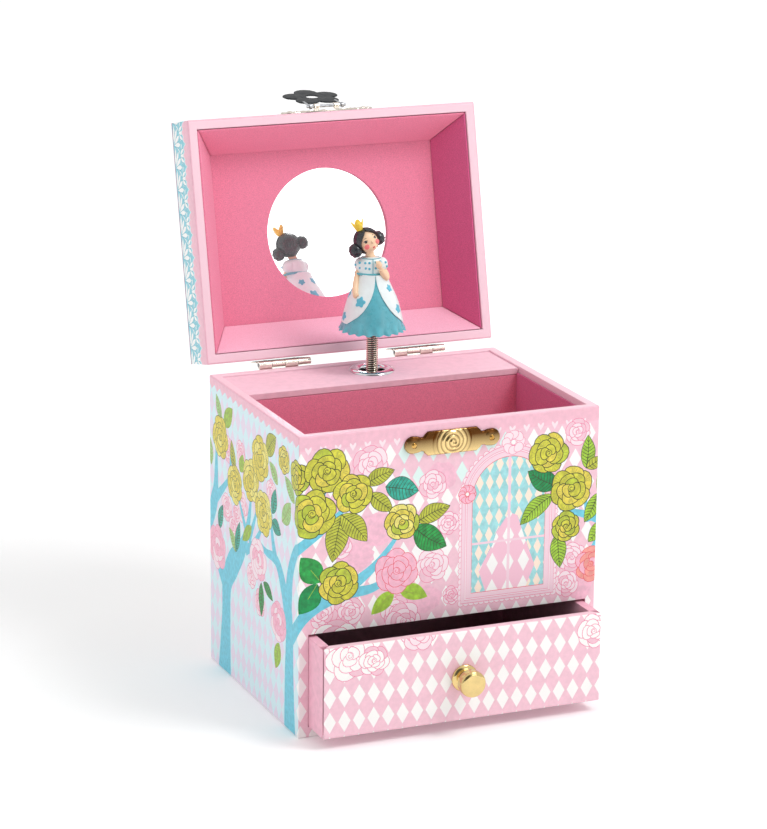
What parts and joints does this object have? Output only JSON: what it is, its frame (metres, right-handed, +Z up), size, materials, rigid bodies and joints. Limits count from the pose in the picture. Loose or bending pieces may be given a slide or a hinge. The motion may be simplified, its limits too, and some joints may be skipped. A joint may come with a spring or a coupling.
{
  "type": "ballerina jewellery box",
  "caption": "Musical jewellery box with a mirrored lid, a lined compartment, a sliding drawer and a turning doll on a spring neck that folds as the lid shuts.",
  "frame": {"origin": "middle of the case's underside, on the surface it stands on", "axes": "+Z up, the latch and drawer face -Y, +X to the viewer's right as seen from the front"},
  "size_m": [0.15, 0.2173, 0.2652],
  "materials": {
    "printed_board": "fibreboard wrapped in satin printed paper",
    "pink_board": "fibreboard wrapped in plain pink paper",
    "flock_lining": "matt flocked card",
    "drawer_lining": "matt dark felt",
    "brass": "polished",
    "nickel": "nickel plate",
    "steel": "bright steel",
    "black_enamel": "gloss black enamel",
    "mirror_glass": "silvered",
    "doll_paint": "hand-painted moulded plastic",
    "zinc_casting": "die-cast",
    "rubber_tyre": "matt"
  },
  "bodies": {
    "case": {"case_front": "printed_board", "case_back": "printed_board", "case_left": "printed_board", "case_right": "printed_board", "case_bottom": "pink_board", "drawer_bay_shelf": "pink_board", "compartment_floor": "flock_lining", "lining_front": "flock_lining", "lining_left": "flock_lining", "lining_right": "flock_lining", "movement_partition": "flock_lining", "music_deck": "pink_board", "spindle_grommet": "nickel", "latch_plate": "brass", "latch_nail_left": "brass", "latch_nail_right": "brass", "hinge_case_leaf_left": "nickel", "hinge_case_leaf_right": "nickel", "hinge_pin_left": "steel", "hinge_pin_right": "steel", "movement_bedplate": "zinc_casting", "comb": "steel", "comb_screw_lower": "steel", "comb_screw_upper": "steel", "governor_cheek_left": "zinc_casting", "governor_cheek_right": "zinc_casting"},
    "lid": {"lid_front": "printed_board", "lid_back": "printed_board", "lid_left": "printed_board", "lid_right": "printed_board", "lid_top": "printed_board", "mirror_panel": "flock_lining", "mirror": "mirror_glass", "lid_lining_front": "flock_lining", "lid_lining_back": "flock_lining", "lid_lining_left": "flock_lining", "lid_lining_right": "flock_lining", "hinge_lid_leaf_left": "nickel", "hinge_lid_leaf_right": "nickel", "clasp_plate": "nickel", "clasp_pin": "steel"},
    "clasp": {"clasp_flower": "black_enamel"},
    "drawer": {"drawer_front": "printed_board", "drawer_left": "pink_board", "drawer_right": "pink_board", "drawer_back": "pink_board", "drawer_bottom": "pink_board", "drawer_felt": "drawer_lining", "drawer_knob": "brass", "knob_screw": "steel"},
    "mainspring": {"spring_barrel": "nickel", "winding_arbor": "steel", "winding_key": "nickel"},
    "cylinder": {"pinned_cylinder": "brass"},
    "governor": {"governor_fan": "steel"},
    "spindle": {"spindle_shaft": "steel", "friction_wheel": "rubber_tyre"},
    "neck": {"spring_neck": "nickel"},
    "doll": {"doll": "doll_paint"}
  },
  "joints": [
    {"name": "lid_hinge", "type": "hinge", "parent": "case", "child": "lid", "pos_m": [0, 0.061, 0.145], "axis": [1, 0, 0], "range_deg": [0, 103]},
    {"name": "doll_fold", "type": "hinge", "parent": "case", "child": "neck", "pos_m": [0.002, 0.041, 0.1405], "axis": [1, 0, 0], "range_deg": [0, 90], "deforming": ["spring_neck"]},
    {"name": "doll_spin", "type": "hinge", "parent": "neck", "child": "doll", "pos_m": [0.002, 0.041, 0.163], "axis": [0, 0, 1], "continuous": true},
    {"name": "spindle_spin", "type": "hinge", "parent": "case", "child": "spindle", "pos_m": [0.002, 0.041, 0.12], "axis": [0, 0, 1], "continuous": true},
    {"name": "key_turn", "type": "hinge", "parent": "case", "child": "mainspring", "pos_m": [0.002, 0.0585, 0.106], "axis": [0, 1, 0], "continuous": true},
    {"name": "cylinder_spin", "type": "hinge", "parent": "case", "child": "cylinder", "pos_m": [0.0225, 0.0446, 0.105], "axis": [0, 0, 1], "continuous": true},
    {"name": "governor_spin", "type": "hinge", "parent": "case", "child": "governor", "pos_m": [-0.004, 0.046, 0.0905], "axis": [1, 0, 0], "continuous": true},
    {"name": "drawer_slide", "type": "slide", "parent": "case", "child": "drawer", "axis": [0, -1, 0], "range_m": [-0.018, 0.055]},
    {"name": "clasp_hinge", "type": "hinge", "parent": "lid", "child": "clasp", "pos_m": [0, 0.09647, 0.26264], "axis": [1, 0, 0], "range_deg": [-12, 163.5]}
  ],
  "couplings": [
    {"joint": "doll_fold", "follows": "lid_hinge", "ratio": 0.8737},
    {"joint": "doll_spin", "follows": "key_turn", "ratio": -2.375},
    {"joint": "spindle_spin", "follows": "key_turn", "ratio": -2.375},
    {"joint": "cylinder_spin", "follows": "key_turn", "ratio": 3},
    {"joint": "governor_spin", "follows": "key_turn", "ratio": 12}
  ]
}
